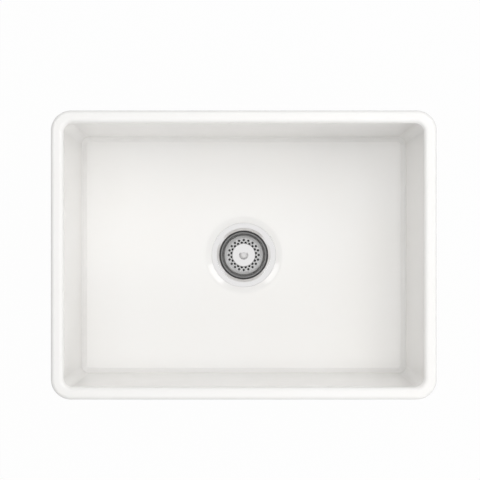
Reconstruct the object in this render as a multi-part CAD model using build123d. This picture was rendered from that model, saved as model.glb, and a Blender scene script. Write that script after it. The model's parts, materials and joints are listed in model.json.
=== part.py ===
from build123d import *
import os
from math import radians, tan

# A single-bowl fireclay kitchen sink with a basket strainer, in millimetres.
# The origin is the middle of the base plane, +X runs along the sink, -Y is its front and +Z is up.

# Fireclay bowl
SINK_LENGTH = 610.0
SINK_WIDTH = 457.0
SINK_HEIGHT = 254.0
WALL = 20.0                     # wall at the rim
WALL_DRAFT = 1.2                # degrees that the inner walls lean in towards the floor
OUTER_CORNER_RADIUS = 32.0      # upright corners, outside
INNER_CORNER_RADIUS = 14.0      # upright corners, inside
RIM_OUTER_RADIUS = 6.5
RIM_INNER_RADIUS = 7.5
BASE_EDGE_RADIUS = 8.0
COVE_RADIUS = 12.0              # between walls and floor
FLOOR_THICKNESS = 25.4          # base plane to floor, at the edge of the drain dish
FLOOR_SLOPE = 0.75              # degrees of fall to the drain
FOOT_WIDTH = 45.0               # unglazed foot round the underside
FOOT_HEIGHT = 4.0
FOOT_CORNER_RADIUS = 20.0

# Drain dish and hole in the bowl's floor
DISH_DEPTH = 6.4                # floor to the flange's seat
DISH_STEP = 3.6                 # seat to the foot of the dish's sloping side, level with the flange
DISH_FLARE = 10.8               # width of that side
DISH_MARGIN = 0.2               # flange edge to the step
DISH_EDGE_RADIUS = 20.0
DISH_STEP_RADIUS = 0.4
HOLE_CLEARANCE = 1.8            # strainer thread to drain hole
HOLE_EDGE_RADIUS = 1.2

# Strainer body
THREAD_DIAMETER = 86.4
FLANGE_WIDTH = 12.8             # flange beyond the thread
FLANGE_THICKNESS = 1.6
FLANGE_EDGE_RADIUS = 0.5
FLANGE_LIP = 1.4                # turned-down edge of the flange
FLANGE_LIP_GAP = 0.3            # that edge to the glaze
BODY_WALL = 1.0
LEAD_WIDTH = 5.1                # sloping lead-in from flange to throat
LEAD_SLOPE = 27.0               # degrees
LEAD_RADIUS = 6.0               # between flange and lead-in
THROAT_RADIUS = 2.2             # between lead-in and throat
UNDER_RADIUS = 3.7              # between flange and thread, below
LEDGE_DEPTH = 10.0              # flange to the ledge that carries the basket
LEDGE_WIDTH = 3.2
WELL_TAPER = 3.0                # degrees
WELL_FOOT_RADIUS = 4.0
THREAD_SPARE = 5.0              # thread left below the locknut
CROSS_BAR_WIDTH = 4.0
CROSS_HUB_DIAMETER = 12.0
CROSS_THICKNESS = 4.0
CROSS_CLEARANCE = 2.0           # post tip to the cross
OUTLET_WALL = 4.5
OUTLET_REACH = 6.0              # cross to the outlet's end

# Seals and nut that clamp the strainer
FLANGE_SEAL_THICKNESS = 2.0
SEAL_INSET = 2.0                # sealing ring to the drain hole and to the flange lip
GASKET_WIDTH = 13.0
GASKET_THICKNESS = 3.0
FRICTION_RING_THICKNESS = 1.2
RING_CLEARANCE = 0.6            # rings to the thread
LOCKNUT_WALL = 7.5
LOCKNUT_THICKNESS = 11.0
LOCKNUT_LUGS = 8
LUG_REACH = 6.0
LUG_WIDTH = 11.0
THREAD_CLEARANCE = 0.05

# Tailpiece and its coupling
TAILPIECE_DIAMETER = 38.1
TAILPIECE_WALL = 1.2
TAILPIECE_LENGTH = 100.0
TAILPIECE_FLANGE_WIDTH = 3.6
TAILPIECE_FLANGE_THICKNESS = 1.5
TAILPIECE_WASHER_THICKNESS = 2.4
COUPLING_ENGAGEMENT = 13.0      # nut over the outlet thread
COUPLING_WALL = 4.0             # thinnest wall, at the middle of a flat
COUPLING_LIP = 3.0
COUPLING_CLEARANCE = 1.6        # lip to the tube

# Basket cup
CUP_SHEET = 1.0
CUP_DEPTH = 24.0
CUP_RIM_THICKNESS = 1.4
CUP_RIM_ROUND = 0.6
CUP_RIM_BEND = 2.0              # wall into the rim, inside
CUP_RIM_CLEARANCE = 2.0         # rim to the throat
CUP_WALL_CLEARANCE = 0.8        # wall to the well
CUP_TAPER = 2.5                 # degrees
CUP_CORNER_RADIUS = 5.0         # inside, between wall and sloping foot
CUP_FOOT_WIDTH = 6.0            # sloping foot between wall and base
CUP_FOOT_SLOPE = 20.0           # degrees
CUP_KNEE_RADIUS = 5.0           # inside, between sloping foot and base
DRAIN_HOLES_PER_ROW = 20
DRAIN_HOLE_DIAMETER = 4.0
DRAIN_HOLE_MARGIN = 0.9         # outer row to the curve of the foot
DRAIN_ROW_PITCH = 4.6

# Plunger guide in the cup
POST_DIAMETER = 8.0
SLIDE_CLEARANCE = 0.05
BUSH_WALL = 4.0
BUSH_RISE = 6.0                 # bush above the cup's base
BUSH_FLANGE_WIDTH = 3.0
BUSH_FLANGE_THICKNESS = 1.6
BUSH_RING_THICKNESS = 1.2
O_RING_SECTION = 2.0
O_RING_CLEARANCE = 0.1          # O-ring to the sides of its groove

# Plunger
PLUNGER_TRAVEL = 9.0
TRAVEL_CLEARANCE = 2.0          # stopper to the bush with the plunger up
CAP_DIAMETER = 40.0
CAP_THICKNESS = 1.2
CAP_EDGE_RADIUS = 0.5
CAP_GAP = 1.8                   # bush to the cap
SPIGOT_DIAMETER = 6.0           # both ends of the post
RIVET_HEAD_DIAMETER = 9.0
RIVET_HEAD_HEIGHT = 1.0
PULL_DIAMETER = 16.0
PULL_HEIGHT = 7.5
PULL_SHEET = 1.0
PULL_SHOULDER_RADIUS = 5.5
PULL_CUT = 3.9                  # straight open side, behind the axis
PLATE_INSET = 4.0               # stopper plate inside the rubber's edge
PLATE_THICKNESS = 1.2
STOPPER_OVERLAP = 6.0           # rubber over the edge of the outlet
STOPPER_THICKNESS = 4.0
STOPPER_EDGE_RADIUS = 1.5
STOPPER_GAP = 0.2               # closed stopper to the well's floor
SEAL_WASHER_DIAMETER = 18.0
SEAL_WASHER_THICKNESS = 1.2
SEAL_NUT_ACROSS_FLATS = 10.0
SEAL_NUT_THICKNESS = 5.0
POST_TIP = 1.5                  # post beyond the nut

# Radii that follow from these
thread_radius = THREAD_DIAMETER / 2
hole_radius = thread_radius + HOLE_CLEARANCE
flange_radius = thread_radius + FLANGE_WIDTH
dish_foot_radius = flange_radius + DISH_MARGIN
dish_radius = dish_foot_radius + DISH_FLARE
throat_bore = thread_radius - BODY_WALL
well_radius = throat_bore - LEDGE_WIDTH
tube_radius = TAILPIECE_DIAMETER / 2
outlet_thread_radius = tube_radius + OUTLET_WALL
tailpiece_flange_radius = tube_radius + TAILPIECE_FLANGE_WIDTH
cup_rim_radius = throat_bore - CUP_RIM_CLEARANCE
cup_wall_radius = well_radius - CUP_WALL_CLEARANCE
post_radius = POST_DIAMETER / 2
post_bore = post_radius + SLIDE_CLEARANCE
bush_radius = post_bore + BUSH_WALL
bush_flange_radius = bush_radius + BUSH_FLANGE_WIDTH
spigot_radius = SPIGOT_DIAMETER / 2
spigot_bore = spigot_radius + SLIDE_CLEARANCE
stopper_radius = tube_radius + STOPPER_OVERLAP

# Heights from the flange down to the tailpiece's end
seat_z = FLOOR_THICKNESS - DISH_DEPTH
flange_under_z = seat_z + FLANGE_SEAL_THICKNESS
flange_top_z = flange_under_z + FLANGE_THICKNESS
throat_top_z = flange_top_z - LEAD_WIDTH * tan(radians(LEAD_SLOPE))
ledge_z = flange_top_z - LEDGE_DEPTH
cup_rim_z = ledge_z + CUP_RIM_THICKNESS
cup_floor_z = cup_rim_z - CUP_DEPTH
cup_under_z = cup_floor_z - CUP_SHEET
bush_top_z = cup_floor_z + BUSH_RISE
bush_under_z = cup_under_z - BUSH_FLANGE_THICKNESS
cap_under_z = bush_top_z + CAP_GAP
cap_top_z = cap_under_z + CAP_THICKNESS
plate_top_z = bush_under_z - TRAVEL_CLEARANCE - PLUNGER_TRAVEL
stopper_top_z = plate_top_z - PLATE_THICKNESS
stopper_under_z = stopper_top_z - STOPPER_THICKNESS
well_floor_z = stopper_under_z - STOPPER_GAP
well_under_z = well_floor_z - BODY_WALL
seal_washer_under_z = stopper_under_z - SEAL_WASHER_THICKNESS
seal_nut_under_z = seal_washer_under_z - SEAL_NUT_THICKNESS
post_tip_z = seal_nut_under_z - POST_TIP
cross_top_z = post_tip_z - CROSS_CLEARANCE
cross_under_z = cross_top_z - CROSS_THICKNESS
outlet_end_z = cross_under_z - OUTLET_REACH
washer_under_z = outlet_end_z - TAILPIECE_WASHER_THICKNESS
tailpiece_flange_under_z = washer_under_z - TAILPIECE_FLANGE_THICKNESS
tailpiece_end_z = tailpiece_flange_under_z - TAILPIECE_LENGTH
coupling_top_z = outlet_end_z + COUPLING_ENGAGEMENT
coupling_under_z = tailpiece_flange_under_z - COUPLING_LIP

# Heights of the clamping stack under the floor
gasket_top_z = FOOT_HEIGHT
friction_ring_top_z = gasket_top_z - GASKET_THICKNESS
locknut_top_z = friction_ring_top_z - FRICTION_RING_THICKNESS
locknut_under_z = locknut_top_z - LOCKNUT_THICKNESS
thread_end_z = locknut_under_z - THREAD_SPARE


def turned(outline, rounds=0.0):
    """Solid of revolution about Z: a closed outline of (radius, height) points with rounded corners."""
    path = FilletPolyline(*outline, radius=rounds, close=True)
    return revolve(Plane.XZ * make_face(path), Axis.Z)


def ring(inner_radius, outer_radius, under_z, top_z):
    """Flat ring about Z."""
    return turned([(inner_radius, under_z), (outer_radius, under_z), (outer_radius, top_z), (inner_radius, top_z)])


def upright_prism(outline, under_z, top_z):
    """Flat outline about Z, raised between two heights."""
    return Pos(0, 0, under_z) * extrude(outline, top_z - under_z)


def floor_height(radius):
    """Height of the bowl's conical floor at a distance from the drain's axis."""
    return FLOOR_THICKNESS + (radius - dish_radius) * tan(radians(FLOOR_SLOPE))


def well_bore(z):
    """Radius of the strainer's tapered well at a height."""
    return well_radius - (ledge_z - z) * tan(radians(WELL_TAPER))


def cavity_section(z):
    """Inside outline of the bowl at a height, drawn in by the walls' draft."""
    inset = WALL + (SINK_HEIGHT - z) * tan(radians(WALL_DRAFT))
    outline = RectangleRounded(SINK_LENGTH - 2 * inset, SINK_WIDTH - 2 * inset, INNER_CORNER_RADIUS)
    return Pos(0, 0, z) * outline


def bowl_cavity():
    """Space inside the bowl: leaning walls, a floor that falls to the drain, and a cove between them."""
    below_floor = floor_height(0) - COVE_RADIUS
    reach = (SINK_LENGTH + SINK_WIDTH) / 2
    walls = loft([cavity_section(below_floor), cavity_section(SINK_HEIGHT)], ruled=True)
    under_floor = turned([
        (0, floor_height(0)),
        (0, below_floor - COVE_RADIUS),
        (reach, below_floor - COVE_RADIUS),
        (reach, floor_height(reach)),
    ])
    cavity = walls - under_floor
    floor = cavity.faces().sort_by(Axis.Z)[0]
    return fillet(floor.outer_wire().edges(), COVE_RADIUS)


def sink_bowl():
    """Fireclay bowl with its rounded rim, foot, drain dish and drain hole."""
    outline = RectangleRounded(SINK_LENGTH, SINK_WIDTH, OUTER_CORNER_RADIUS)
    block = extrude(outline, SINK_HEIGHT)
    block = fillet(block.faces().sort_by(Axis.Z)[0].edges(), BASE_EDGE_RADIUS)
    bowl = block - bowl_cavity()
    bowl = fillet(bowl.faces().sort_by(Axis.Z)[-1].outer_wire().edges(), RIM_OUTER_RADIUS)
    bowl = fillet(bowl.faces().sort_by(Axis.Z)[-1].inner_wires()[0].edges(), RIM_INNER_RADIUS)
    hollow = RectangleRounded(SINK_LENGTH - 2 * FOOT_WIDTH, SINK_WIDTH - 2 * FOOT_WIDTH, FOOT_CORNER_RADIUS)
    bowl -= extrude(hollow, FOOT_HEIGHT)
    step_z = seat_z + DISH_STEP
    rise = FLOOR_THICKNESS - step_z
    dish = turned(
        [
            (0, seat_z),
            (dish_foot_radius, seat_z),
            (dish_foot_radius, step_z),
            (dish_radius + DISH_FLARE, FLOOR_THICKNESS + rise),
            (0, FLOOR_THICKNESS + rise),
        ],
        [0, 0, DISH_STEP_RADIUS, 0, 0],
    )
    bowl -= dish
    dish_edge = bowl.edges().filter_by(GeomType.CIRCLE).sort_by(lambda edge: abs(edge.radius - dish_radius))[0]
    bowl = fillet(dish_edge, DISH_EDGE_RADIUS)
    bowl -= ring(0, hole_radius, 0, FLOOR_THICKNESS)
    hole_edges = [
        edge for edge in bowl.edges().filter_by(GeomType.CIRCLE)
        if abs(edge.radius - hole_radius) < HOLE_CLEARANCE / 2
    ]
    return fillet(hole_edges, HOLE_EDGE_RADIUS)


def strainer_body():
    """Flange, threaded throat, tapered well and outlet, with the cross that spans the outlet."""
    lip_radius = flange_radius - FLANGE_LIP
    lip_z = seat_z + FLANGE_LIP_GAP
    foot_bore = well_bore(well_floor_z)
    shell = turned(
        [
            (flange_radius, lip_z),
            (flange_radius, flange_top_z),
            (throat_bore + LEAD_WIDTH, flange_top_z),
            (throat_bore, throat_top_z),
            (throat_bore, ledge_z),
            (well_radius, ledge_z),
            (foot_bore, well_floor_z),
            (tube_radius, well_floor_z),
            (tube_radius, outlet_end_z),
            (outlet_thread_radius, outlet_end_z),
            (outlet_thread_radius, well_under_z),
            (foot_bore + BODY_WALL, well_under_z),
            (well_bore(thread_end_z) + BODY_WALL, thread_end_z),
            (thread_radius, thread_end_z),
            (thread_radius, flange_under_z),
            (lip_radius, flange_under_z),
            (lip_radius, lip_z),
        ],
        [
            0, FLANGE_EDGE_RADIUS, LEAD_RADIUS, THROAT_RADIUS, 0, 0, WELL_FOOT_RADIUS, 0, 0,
            0, 0, WELL_FOOT_RADIUS + BODY_WALL, 0, 0, UNDER_RADIUS, 0, 0,
        ],
    )
    bar = Rectangle(2 * tube_radius + OUTLET_WALL, CROSS_BAR_WIDTH)
    cross = bar + Rot(0, 0, 90) * bar + Circle(CROSS_HUB_DIAMETER / 2)
    return shell + upright_prism(cross, cross_under_z, cross_top_z)


def flange_seal():
    """Soft ring that beds the flange on the glaze."""
    outer_radius = flange_radius - FLANGE_LIP - SEAL_INSET
    return ring(hole_radius + SEAL_INSET, outer_radius, seat_z, flange_under_z)


def rubber_gasket():
    """Rubber ring under the floor, round the thread."""
    inner_radius = thread_radius + RING_CLEARANCE
    return ring(inner_radius, inner_radius + GASKET_WIDTH, friction_ring_top_z, gasket_top_z)


def friction_ring():
    """Fibre ring on which the locknut turns."""
    inner_radius = thread_radius + RING_CLEARANCE
    return ring(inner_radius, inner_radius + GASKET_WIDTH, locknut_top_z, friction_ring_top_z)


def locknut():
    """Ring nut with lugs for a spanner."""
    bore = thread_radius + THREAD_CLEARANCE
    nut = Circle(bore + LOCKNUT_WALL)
    lug_length = LUG_REACH + LOCKNUT_WALL / 2
    lug = Rectangle(lug_length, LUG_WIDTH)
    lug_middle = bore + LOCKNUT_WALL + LUG_REACH - lug_length / 2
    for place in PolarLocations(lug_middle, LOCKNUT_LUGS):
        nut += place * lug
    nut -= Circle(bore)
    return upright_prism(nut, locknut_under_z, locknut_top_z)


def tailpiece_washer():
    """Flat washer between the outlet and the tailpiece's flange."""
    return ring(tube_radius, tailpiece_flange_radius, washer_under_z, outlet_end_z)


def tailpiece():
    """Outlet tube with a flange at its top."""
    bore = tube_radius - TAILPIECE_WALL
    return turned([
        (bore, tailpiece_end_z),
        (tube_radius, tailpiece_end_z),
        (tube_radius, tailpiece_flange_under_z),
        (tailpiece_flange_radius, tailpiece_flange_under_z),
        (tailpiece_flange_radius, washer_under_z),
        (bore, washer_under_z),
    ])


def coupling_nut():
    """Hexagon nut that pulls the tailpiece's flange up to the outlet."""
    bore = outlet_thread_radius + THREAD_CLEARANCE
    flats = RegularPolygon(bore + COUPLING_WALL, 6, major_radius=False)
    nut = upright_prism(flats, coupling_under_z, coupling_top_z)
    nut -= ring(0, bore, tailpiece_flange_under_z, coupling_top_z)
    nut -= ring(0, tube_radius + COUPLING_CLEARANCE, coupling_under_z, tailpiece_flange_under_z)
    return nut


def basket_cup():
    """Pressed cup with a flat rim, a sloping foot, and two staggered rows of drain holes in its base."""
    foot_rise = tan(radians(CUP_FOOT_SLOPE))
    knee_share = tan(radians(CUP_FOOT_SLOPE / 2))
    corner_z = cup_floor_z + CUP_FOOT_WIDTH * foot_rise
    corner_bore = cup_wall_radius - CUP_SHEET - (cup_rim_z - corner_z) * tan(radians(CUP_TAPER))
    corner_radius = corner_bore + CUP_SHEET
    knee_bore = corner_bore - CUP_FOOT_WIDTH
    knee_radius = knee_bore + CUP_SHEET * knee_share
    corner_under_z = cup_under_z + (corner_radius - knee_radius) * foot_rise
    bush_hole = bush_radius + SLIDE_CLEARANCE
    cup = turned(
        [
            (cup_rim_radius, ledge_z),
            (cup_rim_radius, cup_rim_z),
            (cup_wall_radius - CUP_SHEET, cup_rim_z),
            (corner_bore, corner_z),
            (knee_bore, cup_floor_z),
            (bush_hole, cup_floor_z),
            (bush_hole, cup_under_z),
            (knee_radius, cup_under_z),
            (corner_radius, corner_under_z),
            (cup_wall_radius, ledge_z),
        ],
        [
            0, CUP_RIM_ROUND, CUP_RIM_BEND, CUP_CORNER_RADIUS, CUP_KNEE_RADIUS,
            0, 0, CUP_KNEE_RADIUS + CUP_SHEET, CUP_CORNER_RADIUS + CUP_SHEET, 0,
        ],
    )
    flat_radius = knee_bore - CUP_KNEE_RADIUS * knee_share
    outer_row = flat_radius - DRAIN_HOLE_MARGIN - DRAIN_HOLE_DIAMETER / 2
    half_pitch = 180 / DRAIN_HOLES_PER_ROW
    rows = [(outer_row, 0), (outer_row - DRAIN_ROW_PITCH, half_pitch)]
    hole = upright_prism(Circle(DRAIN_HOLE_DIAMETER / 2), cup_under_z - CUP_SHEET, cup_floor_z + CUP_SHEET)
    holes = [
        place * hole
        for row_radius, start_angle in rows
        for place in PolarLocations(row_radius, DRAIN_HOLES_PER_ROW, start_angle)
    ]
    return cup - holes


def o_ring_middle():
    """Height of the O-ring: the middle of the bush."""
    return (bush_under_z + bush_top_z) / 2


def guide_bush():
    """Flanged sleeve through the cup's base, with an O-ring groove in its bore."""
    groove_half = O_RING_SECTION / 2 + O_RING_CLEARANCE
    groove_radius = post_bore + O_RING_SECTION + O_RING_CLEARANCE
    groove_under_z = o_ring_middle() - groove_half
    groove_top_z = o_ring_middle() + groove_half
    return turned([
        (post_bore, bush_under_z),
        (bush_flange_radius, bush_under_z),
        (bush_flange_radius, cup_under_z),
        (bush_radius, cup_under_z),
        (bush_radius, bush_top_z),
        (post_bore, bush_top_z),
        (post_bore, groove_top_z),
        (groove_radius, groove_top_z),
        (groove_radius, groove_under_z),
        (post_bore, groove_under_z),
    ])


def bush_ring():
    """Push-on ring that holds the bush to the cup's base."""
    return ring(bush_radius + SLIDE_CLEARANCE, bush_flange_radius, cup_floor_z, cup_floor_z + BUSH_RING_THICKNESS)


def post_o_ring():
    """O-ring that grips the post in the bush."""
    section_radius = O_RING_SECTION / 2
    return Pos(0, 0, o_ring_middle()) * Torus(post_bore + section_radius, section_radius)


def lift_cap():
    """Flat disc on top of the plunger."""
    cap_radius = CAP_DIAMETER / 2
    return turned(
        [
            (spigot_bore, cap_under_z),
            (cap_radius, cap_under_z),
            (cap_radius, cap_top_z),
            (spigot_bore, cap_top_z),
        ],
        [0, CAP_EDGE_RADIUS, CAP_EDGE_RADIUS, 0],
    )


def finger_pull():
    """Half dome on the cap, hollow and open along its straight rear side."""
    pull_radius = PULL_DIAMETER / 2
    bore = pull_radius - PULL_SHEET
    pull_top_z = cap_top_z + PULL_HEIGHT
    ceiling_z = pull_top_z - PULL_SHEET
    dome = turned(
        [
            (bore, cap_top_z),
            (pull_radius, cap_top_z),
            (pull_radius, pull_top_z),
            (0, pull_top_z),
            (0, ceiling_z),
            (bore, ceiling_z),
        ],
        [0, 0, PULL_SHOULDER_RADIUS, 0, 0, PULL_SHOULDER_RADIUS - PULL_SHEET],
    )
    behind = Rectangle(PULL_DIAMETER, PULL_DIAMETER, align=(Align.CENTER, Align.MIN))
    return dome - upright_prism(Pos(0, PULL_CUT) * behind, cap_top_z, pull_top_z)


def plunger_post():
    """Post with a riveted upper end and a threaded lower end."""
    head_radius = RIVET_HEAD_DIAMETER / 2
    head_z = cap_top_z + RIVET_HEAD_HEIGHT
    return turned([
        (0, head_z),
        (head_radius, head_z),
        (head_radius, cap_top_z),
        (spigot_radius, cap_top_z),
        (spigot_radius, cap_under_z),
        (post_radius, cap_under_z),
        (post_radius, plate_top_z),
        (spigot_radius, plate_top_z),
        (spigot_radius, post_tip_z),
        (0, post_tip_z),
    ])


def stopper_plate():
    """Metal disc behind the rubber stopper."""
    return ring(spigot_bore, stopper_radius - PLATE_INSET, stopper_top_z, plate_top_z)


def stopper_seal():
    """Rubber disc that closes the outlet."""
    return turned(
        [
            (spigot_bore, stopper_under_z),
            (stopper_radius, stopper_under_z),
            (stopper_radius, stopper_top_z),
            (spigot_bore, stopper_top_z),
        ],
        [0, STOPPER_EDGE_RADIUS, STOPPER_EDGE_RADIUS, 0],
    )


def seal_washer():
    """Washer under the rubber stopper."""
    return ring(spigot_bore, SEAL_WASHER_DIAMETER / 2, seal_washer_under_z, stopper_under_z)


def seal_nut():
    """Hexagon nut on the lower end of the post."""
    flats = RegularPolygon(SEAL_NUT_ACROSS_FLATS / 2, 6, major_radius=False)
    return upright_prism(flats - Circle(spigot_bore), seal_nut_under_z, seal_washer_under_z)


PIECES = [
    sink_bowl,
    flange_seal,
    strainer_body,
    rubber_gasket,
    friction_ring,
    locknut,
    tailpiece_washer,
    tailpiece,
    coupling_nut,
    basket_cup,
    guide_bush,
    bush_ring,
    post_o_ring,
    lift_cap,
    finger_pull,
    plunger_post,
    stopper_plate,
    stopper_seal,
    seal_washer,
    seal_nut,
]

os.makedirs("parts", exist_ok=True)
for make_piece in PIECES:
    export_step(make_piece(), f"parts/{make_piece.__name__}.step")
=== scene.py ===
"""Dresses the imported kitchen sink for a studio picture.

New surfaces stand in for the parts whose looks are finer than their solids: the glazed bowl, the spun
strainer with its cut threads, the pierced basket, and the turned and cast fittings under the floor. The
finger pull keeps its own mesh and gets a finish. Lengths are in metres, in the frame's own coordinates.
"""

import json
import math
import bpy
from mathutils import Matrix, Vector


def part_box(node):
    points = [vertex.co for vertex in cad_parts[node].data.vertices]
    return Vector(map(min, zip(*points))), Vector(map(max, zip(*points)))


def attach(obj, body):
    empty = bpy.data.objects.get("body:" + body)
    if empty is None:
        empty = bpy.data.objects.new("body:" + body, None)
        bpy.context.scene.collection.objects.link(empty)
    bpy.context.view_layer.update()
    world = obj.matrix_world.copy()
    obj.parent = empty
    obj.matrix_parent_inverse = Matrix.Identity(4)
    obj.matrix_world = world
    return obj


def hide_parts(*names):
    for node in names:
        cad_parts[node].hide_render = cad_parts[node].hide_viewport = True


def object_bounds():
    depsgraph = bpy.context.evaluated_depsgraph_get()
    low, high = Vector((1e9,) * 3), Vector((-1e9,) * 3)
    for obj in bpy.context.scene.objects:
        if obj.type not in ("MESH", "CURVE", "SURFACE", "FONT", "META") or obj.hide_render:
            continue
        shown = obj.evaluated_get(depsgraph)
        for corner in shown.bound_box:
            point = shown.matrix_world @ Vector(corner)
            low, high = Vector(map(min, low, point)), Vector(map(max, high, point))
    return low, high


bl_info = {
    "name": "Kitchen sink dressing",
    "version": (1, 0, 0),
    "blender": (4, 5, 0),
    "location": "3D View > Sidebar > Sink",
    "description": "Glazed bowl, polished strainer, fittings and studio for the packed kitchen sink",
    "category": "Object",
}

import bmesh
import bpy
import numpy as np
from mathutils import Vector

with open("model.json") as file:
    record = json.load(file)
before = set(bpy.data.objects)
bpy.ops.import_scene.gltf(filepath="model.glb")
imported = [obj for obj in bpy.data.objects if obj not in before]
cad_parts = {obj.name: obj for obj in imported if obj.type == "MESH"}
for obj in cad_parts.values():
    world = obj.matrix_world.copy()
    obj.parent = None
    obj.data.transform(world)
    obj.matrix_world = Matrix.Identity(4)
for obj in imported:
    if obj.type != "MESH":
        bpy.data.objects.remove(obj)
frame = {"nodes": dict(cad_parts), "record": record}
CAD_BOX = [list(corner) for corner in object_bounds()]
BASIN_MIDDLE = Vector((0.0, 0.0, 0.2))  # what the lamps face
SHARP_EDGE = math.radians(38)  # edges that bend by more than this aren't smoothed
FLAT_TO_CORNER = math.cos(math.pi / 6)  # a hexagon's width across flats over its width across corners
HEXAGON_CORNER = 0.988  # share of a nut's corner that is left when its points are rounded off
WIDE_COLUMNS = 192  # columns round the wide turned pieces, such as the strainer
MIDDLE_COLUMNS = 144  # columns round the tailpiece and the stopper
NARROW_COLUMNS = 96  # columns round the post and its bush
NUT_COLUMNS = 240  # columns round the coupling nut
LUG_COLUMNS = 60  # columns from one lug of the locknut to the next
CROSS_COLUMNS = 288  # columns round the cross in the outlet
O_RING_POINTS = 24  # points round the section of the O-ring
CELL_COLUMNS = 12  # points along the arc of a drain hole's cell
CELL_ROWS = 4  # points along the straight side of that cell
THREAD_FLAT = 7 / 34  # share of the pitch over which a thread's crest is flat, and its groove as well
WHITE = (1.0, 1.0, 1.0, 1.0)

# Directions from the basin to the lamps: azimuth from +X towards +Y, and elevation, in degrees.
# The first three lamps are named as the studio's properties that hold their power.
LAMP_WAYS = {"overhead": (0, 90), "back_right": (54, 55), "front_right": (-45, 30)}
CATCH_WAYS = {"catch_right": (34, 61), "catch_left": (147, 61)}


# Properties that a user would change

def number(name, description, default, **limits):
    """A plain number."""
    return bpy.props.FloatProperty(name=name, description=description, default=default, **limits)


def size(name, description, default):
    """A length in metres."""
    return number(name, description, default, min=0.0, precision=5, unit="LENGTH", subtype="DISTANCE")


def lean(name, description, degrees):
    """An angle, given in degrees and kept in radians."""
    return number(name, description, math.radians(degrees), unit="ROTATION", subtype="ANGLE")


def tint(name, description, default):
    """A colour as linear red, green and blue."""
    return bpy.props.FloatVectorProperty(
        name=name, description=description, default=default, size=3, min=0.0, max=1.0, subtype="COLOR"
    )


def share(name, description, default):
    """A number from nought to one."""
    return number(name, description, default, min=0.0, max=1.0, subtype="FACTOR")


def power(name, description, default):
    """A lamp's power in watts."""
    return number(name, description, default, min=0.0, unit="POWER")


class BowlShape(bpy.types.PropertyGroup):
    """Sizes of the fireclay bowl; its length, width and height come from the frame."""

    wall: size("Wall", "Wall at the rim", 0.020)
    draft: lean("Draft", "Lean of the inner walls towards the floor", 1.2)
    outer_corner: size("Outer corner", "Radius of the upright corners outside", 0.032)
    inner_corner: size("Inner corner", "Radius of the upright corners inside", 0.014)
    rim_outer: size("Rim, outer edge", "Round of the rim's outer edge", 0.0065)
    rim_inner: size("Rim, inner edge", "Round of the rim's inner edge", 0.0075)
    base_edge: size("Base edge", "Round of the edge below the walls", 0.008)
    cove: size("Cove", "Round between walls and floor", 0.0215)
    crease: lean("Crease", "Break between cove and floor", 40.0)
    floor_thickness: size("Floor", "Base plane to floor at the edge of the drain dish", 0.0254)
    floor_fall: lean("Fall", "Fall of the floor to the drain", 0.75)
    foot_width: size("Foot", "Width of the unglazed foot", 0.045)
    foot_height: size("Foot height", "Foot to the underside", 0.004)
    foot_corner: size("Foot corner", "Radius of the corners inside the foot", 0.020)
    foot_edge: size("Foot edge", "Round of the foot's inner edges", 0.0012)
    dish_depth: size("Dish depth", "Floor to the seat of the strainer", 0.0064)
    dish_seat: size("Dish seat", "Radius of the strainer's flat seat", 0.0562)
    dish_step: size("Dish step", "Seat to the foot of the dish's sloping side", 0.0036)
    step_round: size("Step round", "Round of the step's upper edge", 0.0001)
    dish_radius: size("Dish", "Radius of the drain dish at the floor", 0.067)
    dish_edge: size("Dish edge", "Round between dish and floor", 0.020)
    # Painted shade: the drain dish gets a darker glaze fully out to the first radius, which fades out by the
    # second.
    dish_shade_full: size("Pooled glaze", "Radius to which the glaze lies deep round the drain", 0.063)
    dish_shade_end: size("Pooled glaze, end", "Radius at which that depth has faded out", 0.071)
    hole_radius: size("Drain hole", "Radius of the drain hole", 0.045)
    hole_edge: size("Drain hole edge", "Round of the drain hole's edges", 0.0012)


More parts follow.
